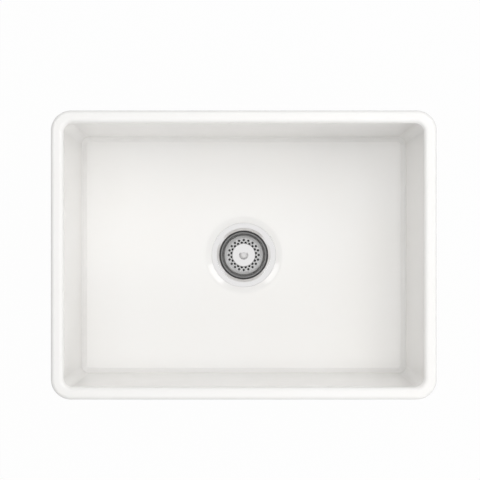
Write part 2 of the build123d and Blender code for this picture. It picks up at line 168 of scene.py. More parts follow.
class StrainerShape(bpy.types.PropertyGroup):
    """Sizes of the strainer body and of the fittings that clamp it."""

    thread_radius: size("Thread", "Outer radius of the body's thread", 0.0432)
    wall: size("Wall", "Sheet of the body", 0.001)
    lead_width: size("Lead-in", "Width of the flange's sloping lead-in to the throat", 0.0051)
    lead_slope: lean("Lead-in slope", "Slope of that lead-in", 29.0)
    lead_round: size("Lead-in round", "Round between flange and lead-in", 0.0006)
    throat_round: size("Throat round", "Round between lead-in and throat", 0.0022)
    under_round: size("Under round", "Round between flange and thread, below", 0.0037)
    flange_edge: size("Flange edge", "Round of the flange's edge", 0.00015)
    flange_lip: size("Flange lip", "Width of the flange's turned-down edge", 0.0014)
    lip_gap: size("Lip gap", "Turned-down edge to the glaze", 0.0003)
    ledge_depth: size("Ledge depth", "Flange to the ledge that carries the basket", 0.010)
    ledge_width: size("Ledge width", "Width of that ledge", 0.0032)
    well_taper: lean("Well taper", "Lean of the well's wall", 3.0)
    well_foot: size("Well foot", "Round between the well's wall and floor", 0.004)
    stopper_gap: size("Stopper gap", "Closed stopper to the well's floor", 0.0002)
    tube_radius: size("Tube", "Outer radius of the tailpiece and bore of the outlet", 0.01905)
    tube_wall: size("Tube wall", "Wall of the tailpiece", 0.0012)
    outlet_wall: size("Outlet wall", "Wall of the threaded outlet", 0.0045)
    flange_thickness: size("Tailpiece flange", "Thickness of the tailpiece's flange", 0.0015)
    thread_spare: size("Spare thread", "Thread left below the locknut", 0.005)
    pitch: size("Pitch", "Pitch of the cut threads", 0.0021)
    groove: size("Groove", "Depth of the cut threads", 0.0006)
    cross_bar: size("Cross bar", "Width of the bars across the outlet", 0.004)
    cross_hub: size("Cross hub", "Radius where the bars meet", 0.006)
    cross_thickness: size("Cross thickness", "Thickness of the bars", 0.004)
    cross_rise: size("Cross rise", "Outlet's end to the bars", 0.006)
    seal_inset: size("Seal inset", "Drain hole to the sealing ring", 0.002)
    ring_clearance: size("Ring clearance", "Thread to the rings around it", 0.0006)
    thread_clearance: size("Thread clearance", "Nuts to their threads", 0.00005)
    nut_wall: size("Locknut wall", "Wall of the locknut between its lugs", 0.0075)
    lug_width: size("Lug width", "Width of a lug of the locknut", 0.011)
    lug_flank: lean("Lug flank", "Turn over which a lug's side rises from the wall", 1.8)
    lugs: bpy.props.IntProperty(name="Lugs", description="Lugs on the locknut", default=8, min=2)
    coupling_lip: size("Coupling lip", "Lip that holds the tailpiece's flange", 0.003)
    coupling_clearance: size("Coupling clearance", "That lip to the tube", 0.0016)
    edge: size("Machined edge", "Round of plain machined edges", 0.0003)


class BasketShape(bpy.types.PropertyGroup):
    """Sizes of the basket and of the plunger that slides in it."""

    sheet: size("Sheet", "Sheet of the cup", 0.001)
    rim_thickness: size("Rim", "Thickness of the cup's flat rim", 0.0014)
    rim_round: size("Rim round", "Round of the rim's edges", 0.0006)
    rim_bend: size("Rim bend", "Bend of the wall into the rim", 0.002)
    wall_radius: size("Wall", "Outer radius of the cup below its rim", 0.0382)
    taper: lean("Taper", "Lean of the cup's wall", 2.5)
    corner: size("Corner", "Round inside, between wall and sloping foot", 0.005)
    foot_width: size("Foot", "Width of the sloping foot between wall and base", 0.006)
    foot_slope: lean("Foot slope", "Slope of that foot", 20.0)
    knee: size("Knee", "Round inside, between sloping foot and base", 0.005)
    holes: bpy.props.IntProperty(name="Holes", description="Drain holes in each row", default=20, min=3)
    hole_radius: size("Hole", "Radius of a drain hole", 0.002)
    hole_edge: size("Hole edge", "Round of a drain hole's edges", 0.00015)
    hole_margin: size("Hole margin", "Outer row to the curve of the foot", 0.0009)
    row_pitch: size("Row pitch", "Between the two rows of holes", 0.0046)
    post_radius: size("Post", "Radius of the plunger's post", 0.004)
    slide: size("Slide", "Radial clearance of the post in its bush", 0.00005)
    bush_wall: size("Bush wall", "Wall of the guide bush", 0.004)
    groove_clearance: size("Groove clearance", "O-ring to the sides of its groove", 0.0001)
    o_ring: size("O-ring", "Thickness of the O-ring", 0.002)
    spigot_radius: size("Spigot", "Radius of both ends of the post", 0.003)
    rivet_radius: size("Rivet", "Radius of the rivet head on the cap", 0.0045)
    cap_edge: size("Cap edge", "Round of the cap's edges", 0.0005)
    stopper_edge: size("Stopper edge", "Round of the rubber's edges", 0.0015)
    pitch: size("Pitch", "Pitch of the post's thread", 0.001)
    groove: size("Groove", "Depth of the post's thread", 0.0004)
    edge: size("Machined edge", "Round of plain machined edges", 0.0002)


class Finishes(bpy.types.PropertyGroup):
    """Colours of the finishes, as linear light."""

    glaze: tint("Glaze", "Warm white glaze", (0.900, 0.893, 0.880))
    glaze_deep: tint("Deep glaze", "Glaze where it lies thicker", (0.897, 0.887, 0.868))
    # Painted shade: a darker glaze that stands for the shade on the drain dish's sloping side.
    painted_dish_shade: tint("Dish glaze", "Glaze that has run together in the drain dish", (0.846, 0.839, 0.827))
    clay: tint("Bare clay", "Unglazed fireclay of the foot", (0.62, 0.54, 0.42))
    clay_dark: tint("Dark clay", "Darker grains in the bare clay", (0.44, 0.36, 0.26))
    steel: tint("Polished steel", "Polished stainless steel", (0.830, 0.822, 0.822))
    cup_steel: tint("Cup steel", "Pressed stainless sheet", (0.600, 0.598, 0.596))
    # Painted shade: these shares make the steel matt and darker in the strainer's throat and well and on the
    # cup's rim and sloping foot, where shade falls.
    throat_matt_shade: share("Throat dullness", "How matt the strainer's throat is", 1.0)
    well_matt_shade: share("Well dullness", "How matt the strainer is below its ledge", 0.9)
    rim_matt_shade: share("Rim dullness", "How matt the cup's rim and its bend are", 0.75)
    foot_matt_shade: share("Foot dullness", "How matt the cup's sloping foot is", 0.25)
    plating: tint("Plating", "Bright plating", (0.55, 0.56, 0.58))
    zinc: tint("Zinc", "Bare die-cast metal", (0.36, 0.37, 0.385))
    rubber: tint("Rubber", "Black rubber", (0.016, 0.016, 0.017))
    fibre: tint("Fibre", "Pressed brown fibre", (0.30, 0.175, 0.085))
    sealant: tint("Sealant", "Off-white sealing ring", (0.66, 0.64, 0.59))
    nylon: tint("Nylon", "Natural nylon", (0.74, 0.73, 0.68))


class Studio(bpy.types.PropertyGroup):
    """Camera, lamps and floor."""

    camera_height: size("Camera height", "Camera above the rim", 2.157)
    lens: number("Lens", "Focal length in millimetres", 102.6, min=1.0, unit="CAMERA")
    shift_x: number("Shift X", "Sideways shift of the lens", -0.0078)
    shift_y: number("Shift Y", "Upward shift of the lens", 0.03125)
    sky: number("Sky", "Soft light from all round", 0.45, min=0.0)
    overhead: power("Overhead", "Lamp straight above the drain", 12.0)
    back_right: power("Back right", "Lamp at the back right", 8.9)
    front_right: power("Front right", "Low lamp at the front right", 8.1)
    lamp_size: size("Lamp size", "Side of these lamps", 1.0)
    catch: power("Catch light", "Each of the two small lamps that glint in the drain dish", 1.4)
    catch_width: size("Catch light width", "Width of the small lamps", 0.62)
    catch_height: size("Catch light height", "Height of the small lamps", 0.20)
    lamp_distance: size("Lamp distance", "Middle of the basin to every lamp", 2.0)
    floor_size: size("Floor size", "Side of the floor", 30.0)
    floor_tone: share("Floor tone", "Grey of the pale floor", 0.60)
    floor_shade: share("Floor shade", "Share of the floor's own shading under its white", 0.024)


# Outlines and surfaces

def unit(vectors):
    """Vectors divided by their own lengths."""
    lengths = np.linalg.norm(vectors, axis=-1, keepdims=True)
    return vectors / np.maximum(lengths, 1e-12)


def rounded_outline(corners, rounds, steps=6):
    """Outline of (radius, height) points whose corners are arcs.

    An arc of radius r touches both sides of its corner at r over the tangent of half the corner's angle.
    Its centre is on the corner's bisector, and its points stand at equal angles. Points that fall together
    are kept once, so a corner with no round stays one point. An open outline has no round at its first and
    last corner.
    """
    corners = np.asarray(corners, float)
    rounds = np.broadcast_to(np.asarray(rounds, float), len(corners))[:, None]
    back = unit(np.roll(corners, 1, axis=0) - corners)
    ahead = unit(np.roll(corners, -1, axis=0) - corners)
    cosine = np.clip((back * ahead).sum(axis=1, keepdims=True), -1.0, 1.0)
    half = np.maximum(np.arccos(cosine) / 2, 1e-6)
    centre = corners + unit(back + ahead) * rounds / np.sin(half)
    start = corners + back * rounds / np.tan(half) - centre
    turn = np.sign(ahead[:, 0] * back[:, 1] - ahead[:, 1] * back[:, 0])[:, None]
    sweep = turn * (math.pi - 2 * half) * np.linspace(0, 1, steps + 1)
    angle = np.arctan2(start[:, 1:], start[:, :1]) + sweep
    arcs = centre[:, None, :] + rounds[..., None] * np.stack([np.cos(angle), np.sin(angle)], axis=-1)
    points = np.where(rounds[..., None] > 0, arcs, corners[:, None, :]).reshape(-1, 2)
    apart = np.linalg.norm(points - np.roll(points, 1, axis=0), axis=1) > 1e-8
    return points[apart]


def divided(outline, inside, step):
    """Outline with every segment that has both ends inside cut into equal lengths no longer than step."""
    ahead = np.roll(outline, -1, axis=0)
    length = np.linalg.norm(ahead - outline, axis=1)
    both = inside & np.roll(inside, -1)
    counts = np.where(both, np.ceil(length / step), 1).astype(int)
    first = np.repeat(np.cumsum(counts) - counts, counts)
    along = (np.arange(counts.sum()) - first) / np.repeat(counts, counts)
    return np.repeat(outline, counts, axis=0) + np.repeat(ahead - outline, counts, axis=0) * along[:, None]


def full_turn(columns):
    """Equal angles once round the drain's axis."""
    return np.linspace(0, 2 * math.pi, columns, endpoint=False)


def polar(radius, height, angle):
    """Points on one grid: x is radius times the cosine of angle, y is radius times its sine, z is height."""
    radius, height, angle = np.broadcast_arrays(radius, height, angle)
    return np.stack([radius * np.cos(angle), radius * np.sin(angle), height], axis=-1)


def turned(outline, columns=WIDE_COLUMNS):
    """Surface of revolution: every point of a (radius, height) outline at every angle."""
    return polar(outline[:, :1], outline[:, 1:], full_turn(columns))


def ring(node, inner, rounds, columns=WIDE_COLUMNS):
    """Turned ring that fills a part's box outside the radius inner, with rounded corners."""
    outer, low, high = extent(node)
    corners = [(inner, low), (outer, low), (outer, high), (inner, high)]
    return turned(rounded_outline(corners, rounds), columns)


def chamfered_bore(radius, low, high, chamfer):
    """Outline of a bore that is opened by a chamfer at both ends."""
    return np.array([
        (radius + chamfer, low),
        (radius, low + chamfer),
        (radius, high - chamfer),
        (radius + chamfer, high),
    ])


def eased(part):
    """Parts from nought to one, with level ends: three times the square less twice the cube."""
    return part * part * (3 - 2 * part)


def threaded(outline, columns, low, high, pitch, groove):
    """Surface of revolution with a helical groove between two heights.

    The radius is lessened by a trapezoid wave of height over pitch less the turn, which fades over one pitch
    at both ends. A point's share of the groove's depth comes from its distance to the middle of the crest.
    """
    angle = full_turn(columns)
    radius = outline[:, :1]
    height = outline[:, 1:]
    wave = (height / pitch - angle / (2 * math.pi)) % 1.0
    from_crest = np.abs(2 * wave - 1)
    depth = np.clip((from_crest - THREAD_FLAT) / (1 - 2 * THREAD_FLAT), 0, 1)
    fade = np.clip((height - low) / pitch, 0, 1) * np.clip((high - height) / pitch, 0, 1)
    return polar(radius - groove * depth * fade, height, angle)


def nut(outer, inside, low, high, cone, edge):
    """Closed ring whose outer wall stands at a radius for each angle, and whose ends are cut by cones.

    inside is the outline of the bore from low to high. Beyond the radius cone, each end falls away by half of
    what the wall stands out, as a turned chamfer does. One row between end and wall rounds their edge.
    """
    angle = full_turn(len(outer))
    flat = np.minimum(outer, cone)
    drop = (outer - flat) / 2
    bend = 0.3 * edge
    rows = [
        polar(inside[:, :1], inside[:, 1:], angle),
        polar(flat - edge, high, angle)[None],
        polar(outer - bend, high - drop - bend, angle)[None],
        polar(outer, high - drop - edge, angle)[None],
        polar(outer, low + drop + edge, angle)[None],
        polar(outer - bend, low + drop + bend, angle)[None],
        polar(flat - edge, low, angle)[None],
    ]
    return np.concatenate(rows)


def hexagon(across_corners, columns):
    """Radius of a hexagon at each angle: half the width across flats over the cosine from its flat."""
    flat = across_corners * FLAT_TO_CORNER
    sixth = math.pi / 3
    from_flat = full_turn(columns) % sixth - sixth / 2
    return np.minimum(flat / np.cos(from_flat), HEXAGON_CORNER * across_corners)


def faces_of_grid(rows, columns, wrap_rows, wrap_columns, first):
    """Corner numbers of the quads between neighbouring rows and columns of a grid, counted from first."""
    index = first + np.arange(rows * columns).reshape(rows, columns)
    if wrap_rows:
        index = np.concatenate([index, index[:1]])
    if wrap_columns:
        index = np.concatenate([index, index[:, :1]], axis=1)
    corners = [index[:-1, :-1], index[:-1, 1:], index[1:, 1:], index[1:, :-1]]
    return np.stack(corners, axis=-1).reshape(-1, 4)


def make_piece(name, body, node, grids, wrap_rows=True, marks=None):
    """Object over grids of points, joined where they meet, which rides on a body and stands for a node.

    Every grid wraps round its columns. marks is a list of (attribute, value for every point).
    """
    points = np.concatenate([grid.reshape(-1, 3) for grid in grids])
    firsts = np.cumsum([0] + [grid.shape[0] * grid.shape[1] for grid in grids])
    quads = [
        faces_of_grid(grid.shape[0], grid.shape[1], wrap_rows, True, first)
        for grid, first in zip(grids, firsts)
    ]
    mesh = bpy.data.meshes.new(name)
    mesh.from_pydata(points.tolist(), [], np.concatenate(quads).tolist())
    for attribute, values in marks or []:
        mesh.attributes.new(attribute, "FLOAT", "POINT").data.foreach_set("value", values.ravel())
    sheet = bmesh.new()
    sheet.from_mesh(mesh)
    bmesh.ops.remove_doubles(sheet, verts=sheet.verts, dist=1e-6)
    bmesh.ops.dissolve_degenerate(sheet, edges=sheet.edges, dist=1e-7)
    bmesh.ops.recalc_face_normals(sheet, faces=sheet.faces)
    loose = sum(1 for edge in sheet.edges if len(edge.link_faces) != 2)
    sheet.to_mesh(mesh)
    sheet.free()
    if loose:
        raise RuntimeError(f"{name} has {loose} open edges")
    mesh.shade_smooth()
    mesh.set_sharp_from_angle(angle=SHARP_EDGE)
    piece = bpy.data.objects.new(name, mesh)
    bpy.context.scene.collection.objects.link(piece)
    flats = piece.modifiers.new("Flat faces", "WEIGHTED_NORMAL")
    flats.keep_sharp = True
    slot = next(part["material_slot"] for part in frame["record"]["subparts"] if part["node"] == node)
    mesh.materials.append(FINISH_OF_SLOT[slot]())
    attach(piece, body)
    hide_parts(node)
    return piece


def finish_node(node, finish):
    """Gives a carried-over part its finish."""
    part = frame["nodes"][node]
    part.data.materials.clear()
    part.data.materials.append(finish)


def extent(node):
    """Outer radius along X, lowest and highest point of a part, from its box in the frame."""
    low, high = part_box(node)
    return high.x, low.z, high.z


# Finishes

def begin_finish(name):
    """An empty node material and its shader, or the material made before under this name and None."""
    made = bpy.data.materials.get(name)
    if made:
        return made, None
    material = bpy.data.materials.new(name)
    material.use_nodes = True
    return material, material.node_tree.nodes["Principled BSDF"]


def add(owner, kind, inputs=(), **settings):
    """Adds a node to a material or world, sets its options, and sets or links inputs by name or number."""
    node = owner.node_tree.nodes.new(kind)
    for option, value in settings.items():
        setattr(node, option, value)
    for socket, value in dict(inputs).items():
        if isinstance(value, bpy.types.NodeSocket):
            owner.node_tree.links.new(value, node.inputs[socket])
        else:
            node.inputs[socket].default_value = value
    return node


def link(material, output, shader, socket):
    """Links an output to one of the shader's sockets."""
    material.node_tree.links.new(output, shader.inputs[socket])


def place(material):
    """The point on the part, in metres."""
    return add(material, "ShaderNodeTexCoord").outputs["Object"]


def marked(material, name):
    """Value that a piece keeps at each of its points under this name."""
    return add(material, "ShaderNodeAttribute", attribute_name=name).outputs["Fac"]


def maths(owner, operation, first, second):
    """Sum or greater of two numbers, as the operation says."""
    return add(owner, "ShaderNodeMath", {0: first, 1: second}, operation=operation).outputs[0]


def noise(material, vector, scale, detail=2.0, roughness=0.5):
    """Smooth noise with scale waves to the metre."""
    inputs = {"Vector": vector, "Scale": scale, "Detail": detail, "Roughness": roughness}
    return add(material, "ShaderNodeTexNoise", inputs).outputs["Fac"]


def spread(material, value, low, high, out_low, out_high):
    """Value carried from one range to another and held at its ends."""
    inputs = {"Value": value, "From Min": low, "From Max": high, "To Min": out_low, "To Max": out_high}
    return add(material, "ShaderNodeMapRange", inputs).outputs["Result"]


def colour_input(colour):
    """A colour's output as it is, or red, green and blue with a full fourth part."""
    return colour if isinstance(colour, bpy.types.NodeSocket) else (*colour, 1.0)


def scaled(colour, part):
    """A colour times a number: darker below one, lighter above."""
    return [part * channel for channel in colour]


def mixed(material, factor, first, second):
    """Colour between two colours: inputs 6 and 7 and output 2 of the node are its colours."""
    inputs = {0: factor, 6: colour_input(first), 7: colour_input(second)}
    return add(material, "ShaderNodeMix", inputs, data_type="RGBA").outputs[2]


def between(material, factor, first, second):
    """Number between two numbers: inputs 2 and 3 and output 0 of the node are its numbers."""
    inputs = {0: factor, 2: first, 3: second}
    return add(material, "ShaderNodeMix", inputs, data_type="FLOAT").outputs[0]


def bumped(material, height, distance, strength=1.0, normal=None):
    """Normal of a surface raised by height times distance."""
    inputs = {"Height": height, "Distance": distance, "Strength": strength}
    if normal:
        inputs["Normal"] = normal
    return add(material, "ShaderNodeBump", inputs).outputs["Normal"]


def spun_lines(material, scale):
    """Fine rings about the drain's axis: noise of distance from the axis plus height."""
    vector = place(material)
    flattened = {0: vector, 1: (1.0, 1.0, 0.0)}
    across = add(material, "ShaderNodeVectorMath", flattened, operation="MULTIPLY").outputs[0]
    radius = add(material, "ShaderNodeVectorMath", {0: across}, operation="LENGTH").outputs["Value"]
    height = add(material, "ShaderNodeSeparateXYZ", {0: vector}).outputs["Z"]
    along = maths(material, "ADD", radius, height)
    inputs = {"W": along, "Scale": scale, "Detail": 3.0, "Roughness": 0.65}
    return add(material, "ShaderNodeTexNoise", inputs, noise_dimensions="1D").outputs["Fac"]


def glaze_finish():
    """Glossy warm white glaze, darkened as painted shade where the mark pool is one, and bare clay where
    glaze is nought.
    """
    material, shader = begin_finish("Glaze over fireclay")
    if shader is None:
        return material
    colours = bpy.context.scene.sink_finishes
    vector = place(material)
    waves = spread(material, noise(material, vector, 28, 1), 0.3, 0.7, -0.14, 0.14)
    ragged = maths(material, "ADD", marked(material, "glaze"), waves)
    glazed = spread(material, ragged, 0.42, 0.58, 0.0, 1.0)
    thick_glaze_and_dish_shade = spread(material, noise(material, vector, 7, 3), 0.35, 0.7, 0.0, 1.0)
    grains = spread(material, noise(material, vector, 1400, 3, 0.7), 0.45, 0.7, 0.0, 1.0)
    plain_glaze = mixed(material, thick_glaze_and_dish_shade, colours.glaze, colours.glaze_deep)
    # Painted shade: the darker dish glaze is mixed in round the drain.
    glaze = mixed(material, marked(material, "pool"), plain_glaze, colours.painted_dish_shade)
    clay = mixed(material, grains, colours.clay, colours.clay_dark)
    link(material, mixed(material, glazed, clay, glaze), shader, "Base Color")
    sheen = spread(material, noise(material, vector, 30, 2), 0.3, 0.7, 0.05, 0.09)
    link(material, between(material, glazed, 0.85, sheen), shader, "Roughness")
    shader.inputs["IOR"].default_value = 1.52
    peel = bumped(material, noise(material, vector, 240, 1), 0.000015)
    grit = spread(material, glazed, 0, 1, 0.6, 0.0)
    link(material, bumped(material, grains, 0.00025, grit, peel), shader, "Normal")
    return material


def spun_finish(name, colour, polish, rings, depth, metal=1.0, painted_shade_part=0.27):
    """Stainless steel with fine spun rings and faint smears, matt and darkened by painted shade where the
    mark dull is one.
    """
    material, shader = begin_finish(name)
    if shader is None:
        return material
    vector = place(material)
    lines = spun_lines(material, rings)
    shades = spread(material, lines, 0.3, 0.7, 0.0, 1.0)
    dull = marked(material, "dull")
    bright = mixed(material, shades, colour, scaled(colour, 0.94))
    # Painted shade: the matt colour is the steel darkened by painted_shade_part, standing for the shade where
    # the mark is one.
    matt = mixed(material, shades, scaled(colour, painted_shade_part), scaled(colour, 0.8 * painted_shade_part))
    link(material, mixed(material, dull, bright, matt), shader, "Base Color")
    shader.inputs["Metallic"].default_value = metal
    smears = spread(material, noise(material, vector, 55, 3), 0.3, 0.75, polish, 1.6 * polish)
    link(material, between(material, dull, smears, 0.45), shader, "Roughness")
    link(material, bumped(material, lines, depth), shader, "Normal")
    return material


def polished_finish():
    """Polished stainless steel of the flange and cap."""
    colour = bpy.context.scene.sink_finishes.steel
    return spun_finish("Polished steel", colour, 0.11, 5200, 0.0000012, painted_shade_part=0.14)


def satin_finish():
    """Satin stainless steel of the finger pull."""
    colour = scaled(bpy.context.scene.sink_finishes.steel, 0.88)
    return spun_finish("Satin steel", colour, 0.45, 5200, 0.0000012, 0.25)


def cup_finish():
    """Pressed stainless sheet of the basket."""
    colour = bpy.context.scene.sink_finishes.cup_steel
    return spun_finish("Pressed cup steel", colour, 0.24, 3600, 0.0000022, 0.8)


def patchy_finish(name, colour, patches, limits, shade, rough, depth, grain=None, metal=0.0):
    """Finish in two shades of a colour that patches of noise mix, each with its own roughness.

    patches and grain are what noise takes: waves to the metre, detail and roughness. The surface is raised by
    the grain, or by the patches where there is none.
    """
    material, shader = begin_finish(name)
    if shader is None:
        return material
    vector = place(material)
    mottle = spread(material, noise(material, vector, *patches), *limits, 0.0, 1.0)
    link(material, mixed(material, mottle, colour, scaled(colour, shade)), shader, "Base Color")
    shader.inputs["Metallic"].default_value = metal
    link(material, spread(material, mottle, 0.0, 1.0, *rough), shader, "Roughness")
    height = noise(material, vector, *grain) if grain else mottle
    link(material, bumped(material, height, depth), shader, "Normal")
    return material


def plating_finish():
    """Bright plating over brass: mirror-like, with slight waves and dulled patches."""
    return patchy_finish(
        "Bright plating", bpy.context.scene.sink_finishes.plating, patches=(120, 4), limits=(0.4, 0.75),
        shade=0.9, rough=(0.07, 0.18), depth=0.000005, grain=(160, 2), metal=1.0,
    )


def zinc_finish():
    """Bare die-cast metal: dull grey, with a grainy cast skin and lighter rubbed patches."""
    return patchy_finish(
        "Die-cast zinc", bpy.context.scene.sink_finishes.zinc, patches=(85, 4, 0.6), limits=(0.35, 0.7),
        shade=1.35, rough=(0.55, 0.38), depth=0.00012, grain=(1300, 3, 0.6), metal=0.85,
    )


def rubber_finish():
    """Matt black rubber with a fine moulded grain and a grey bloom."""
    return patchy_finish(
        "Black rubber", bpy.context.scene.sink_finishes.rubber, patches=(140, 4, 0.6), limits=(0.45, 0.8),
        shade=3.0, rough=(0.5, 0.72), depth=0.00004, grain=(2200, 2),
    )


def fibre_finish():
    """Pressed brown fibre with pale and dark flecks."""
    return patchy_finish(
        "Pressed fibre", bpy.context.scene.sink_finishes.fibre, patches=(900, 5, 0.7), limits=(0.35, 0.7),
        shade=0.55, rough=(0.78, 0.95), depth=0.00008,
    )


def sealant_finish():
    """Soft off-white sealing ring with a slightly lumpy, satin skin."""
    return patchy_finish(
        "Sealing ring", bpy.context.scene.sink_finishes.sealant, patches=(210, 3), limits=(0.35, 0.7),
        shade=0.9, rough=(0.38, 0.55), depth=0.0001,
    )


def nylon_finish():
    """Natural nylon: milky, with faint turning marks."""
    material, shader = begin_finish("Natural nylon")
    if shader is None:
        return material
    colour = bpy.context.scene.sink_finishes.nylon
    marks = spun_lines(material, 2600)
    link(material, mixed(material, marks, colour, scaled(colour, 0.92)), shader, "Base Color")
    link(material, spread(material, marks, 0.3, 0.7, 0.32, 0.46), shader, "Roughness")
    shader.inputs["Subsurface Weight"].default_value = 0.15
    shader.inputs["Subsurface Radius"].default_value = (0.002, 0.002, 0.0016)
    link(material, bumped(material, marks, 0.000008), shader, "Normal")
    return material


FINISH_OF_SLOT = {
    "white_glaze": glaze_finish,
    "polished_steel": polished_finish,
    "cup_steel": cup_finish,
    "plated_metal": plating_finish,
    "cast_zinc": zinc_finish,
    "black_rubber": rubber_finish,
    "fibre": fibre_finish,
    "white_sealant": sealant_finish,
    "white_nylon": nylon_finish,
}


# The bowl

class BowlColumns:
    """Columns round the bowl, each a place on a rounded rectangle of any size.

    A point is the corner centre's place (side_x, side_y), each from -1 to 1, times the centre's distance from
    the axes, plus the corner radius along (way_x, way_y). Along the sides the columns stand at equal angles
    about the drain, and spoke is the direction from the drain to each column on the floor's edge.
    """

    def __init__(self, half_length, half_width, corner, step, corner_columns):
        end_x = half_length - corner
        end_y = half_width - corner
        side_end = math.atan2(end_y, half_length)
        top_end = math.atan2(half_width, end_x)
        side = np.linspace(-side_end, side_end, 1 + round(2 * side_end / step))
        top = np.linspace(top_end, math.pi - top_end, 1 + round((math.pi - 2 * top_end) / step))
        bend = np.linspace(0, math.pi / 2, corner_columns + 2)[1:-1]
        one = np.ones_like(bend)
        side_x = [np.ones_like(side), one, half_width / np.tan(top) / end_x, -one]
        side_y = [half_length * np.tan(side) / end_y, one, np.ones_like(top), one]
        way_x = [np.ones_like(side), np.cos(bend), np.zeros_like(top), -np.sin(bend)]
        way_y = [np.zeros_like(side), np.sin(bend), np.ones_like(top), np.cos(bend)]
        self.side_x, self.side_y, self.way_x, self.way_y = (
            np.concatenate([*parts, *(-part for part in parts)]) for parts in (side_x, side_y, way_x, way_y)
        )
        x, y = self.loop(half_length, half_width, corner)
        self.spoke_x = x / np.hypot(x, y)
        self.spoke_y = y / np.hypot(x, y)

    def loop(self, half_length, half_width, corner):
        """X and Y of rounded rectangles, one row for each size given."""
        x = (half_length - corner) * self.side_x + corner * self.way_x
        y = (half_width - corner) * self.side_y + corner * self.way_y
        return x, y


def bowl_surface(shape, half_length, half_width, height):
    """The whole skin of the bowl as one closed grid, and how far each of its points is glazed.

    Rows go from the drain hole over the dish and the floor, up the cove and the wall, over the rim, down the
    outside, under the foot and back to the hole. Rows on the dish are circles, rows on the walls are rounded
    rectangles inset from the outside, and rows on the floor and the underside go from one to the other along
    straight spokes. The floor is a cone about the drain.
    """
    fall = math.tan(shape.floor_fall)
    draft = math.tan(shape.draft)

    def floor_height(radius):
        """Height of the floor's cone: its height at the dish plus its fall times the distance from there."""
        return shape.floor_thickness + (radius - shape.dish_radius) * fall

    cove_start = math.pi / 2 - shape.floor_fall - shape.crease
    cove_width = shape.cove * (1 - math.cos(cove_start))
    cove_rise = shape.cove * (math.sin(cove_start) - math.sin(shape.draft))
    edge_inset = shape.wall + (height - shape.floor_thickness - cove_rise) * draft + cove_width
    sharp_corner = shape.inner_corner - cove_width
    edge_sizes = (half_length - edge_inset, half_width - edge_inset, sharp_corner)
    columns = BowlColumns(*edge_sizes, step=math.radians(1.5), corner_columns=15)
    grids = []
    marks = []

    def add_rows(x, y, z, mark):
        """Adds rows of points, with how far they are glazed."""
        x, y, z = np.broadcast_arrays(x, y, z)
        grids.append(np.stack([x, y, z], axis=-1))
        marks.append(np.broadcast_to(mark, x.shape))

    def add_loops(inset, corner, z, mark):
        """Adds rounded rectangles that are inset from the outside."""
        add_rows(*columns.loop(half_length - inset, half_width - inset, corner), z, mark)

    def add_circles(outline, mark):
        """Adds a circle for each point of an outline: its radius along every spoke."""
        add_rows(outline[:, :1] * columns.spoke_x, outline[:, :1] * columns.spoke_y, outline[:, 1:], mark)

    seat = shape.floor_thickness - shape.dish_depth
    under = shape.foot_height
    hole_border = shape.hole_radius + 3 * shape.hole_edge
    floor_start = shape.dish_radius + 0.3 * shape.dish_edge
    dish = rounded_outline(
        [
            (hole_border, under),
            (shape.hole_radius, under),
            (shape.hole_radius, seat),
            (shape.dish_seat, seat),
            (shape.dish_seat, seat + shape.dish_step),
            (shape.dish_radius, shape.floor_thickness),
            (floor_start, floor_height(floor_start)),
        ],
        [0, shape.hole_edge, shape.hole_edge, shape.step_round / 2, shape.step_round, shape.dish_edge, 0],
        steps=10,
    )
    add_circles(dish, np.where(dish[:, 1:] > seat - 2 * shape.hole_edge, 1.0, 0.0))

    turn = np.linspace(cove_start, shape.draft, 15)[:, None]
    edge_x, edge_y = columns.loop(*edge_sizes)
    edge_z = floor_height(np.hypot(edge_x, edge_y))
    cove_top = edge_z + cove_rise
    cove_back = shape.wall + (height - cove_top) * draft - shape.cove * (1 - math.cos(shape.draft))
    cove_inset = cove_back + shape.cove * (1 - np.cos(turn))
    cove_corner = shape.inner_corner - shape.cove * (1 - np.cos(turn))
    cove_x, cove_y = columns.loop(half_length - cove_inset, half_width - cove_inset, cove_corner)
    along = np.array([0.1, 0.25, 0.4, 0.55, 0.7, 0.85, 0.95, 0.99])[:, None]
    floor_x = floor_start * columns.spoke_x * (1 - along) + cove_x[:1] * along
    floor_y = floor_start * columns.spoke_y * (1 - along) + cove_y[:1] * along
    add_rows(floor_x, floor_y, floor_height(np.hypot(floor_x, floor_y)), 1.0)
    add_rows(cove_x, cove_y, edge_z + shape.cove * (math.sin(cove_start) - np.sin(turn)), 1.0)

    wall_top = height - shape.rim_inner * (1 - math.sin(shape.draft))
    rise = np.array([0.02, 0.15, 0.3, 0.45, 0.6, 0.75, 0.9, 0.98])[:, None]
    wall_z = cove_top * (1 - rise) + wall_top * rise
    add_loops(shape.wall + (height - wall_z) * draft, shape.inner_corner, wall_z, 1.0)

    turn = np.linspace(shape.draft, math.pi / 2, 13)[:, None]
    rim_back = shape.wall + (height - wall_top) * draft - shape.rim_inner * math.cos(shape.draft)
    rim_corner = shape.inner_corner + shape.rim_inner * (math.cos(shape.draft) - np.cos(turn))
    rim_z = height - shape.rim_inner * (1 - np.sin(turn))
    add_loops(rim_back + shape.rim_inner * np.cos(turn), rim_corner, rim_z, 1.0)

    turn = np.linspace(math.pi / 2, 0, 13)[:, None]
    out_inset = shape.rim_outer * (1 - np.cos(turn))
    add_loops(out_inset, shape.outer_corner - out_inset, height - shape.rim_outer * (1 - np.sin(turn)), 1.0)

    drop = np.array([0.02, 0.25, 0.5, 0.75, 0.98])[:, None]
    add_loops(0.0, shape.outer_corner, (height - shape.rim_outer) * (1 - drop) + shape.base_edge * drop, 1.0)

    turn = np.linspace(0, math.pi / 2, 11)[:, None]
    base_inset = shape.base_edge * (1 - np.cos(turn))
    base_mark = np.linspace(1.0, 0.2, 11)[:, None]
    add_loops(base_inset, shape.outer_corner - base_inset, shape.base_edge * (1 - np.sin(turn)), base_mark)

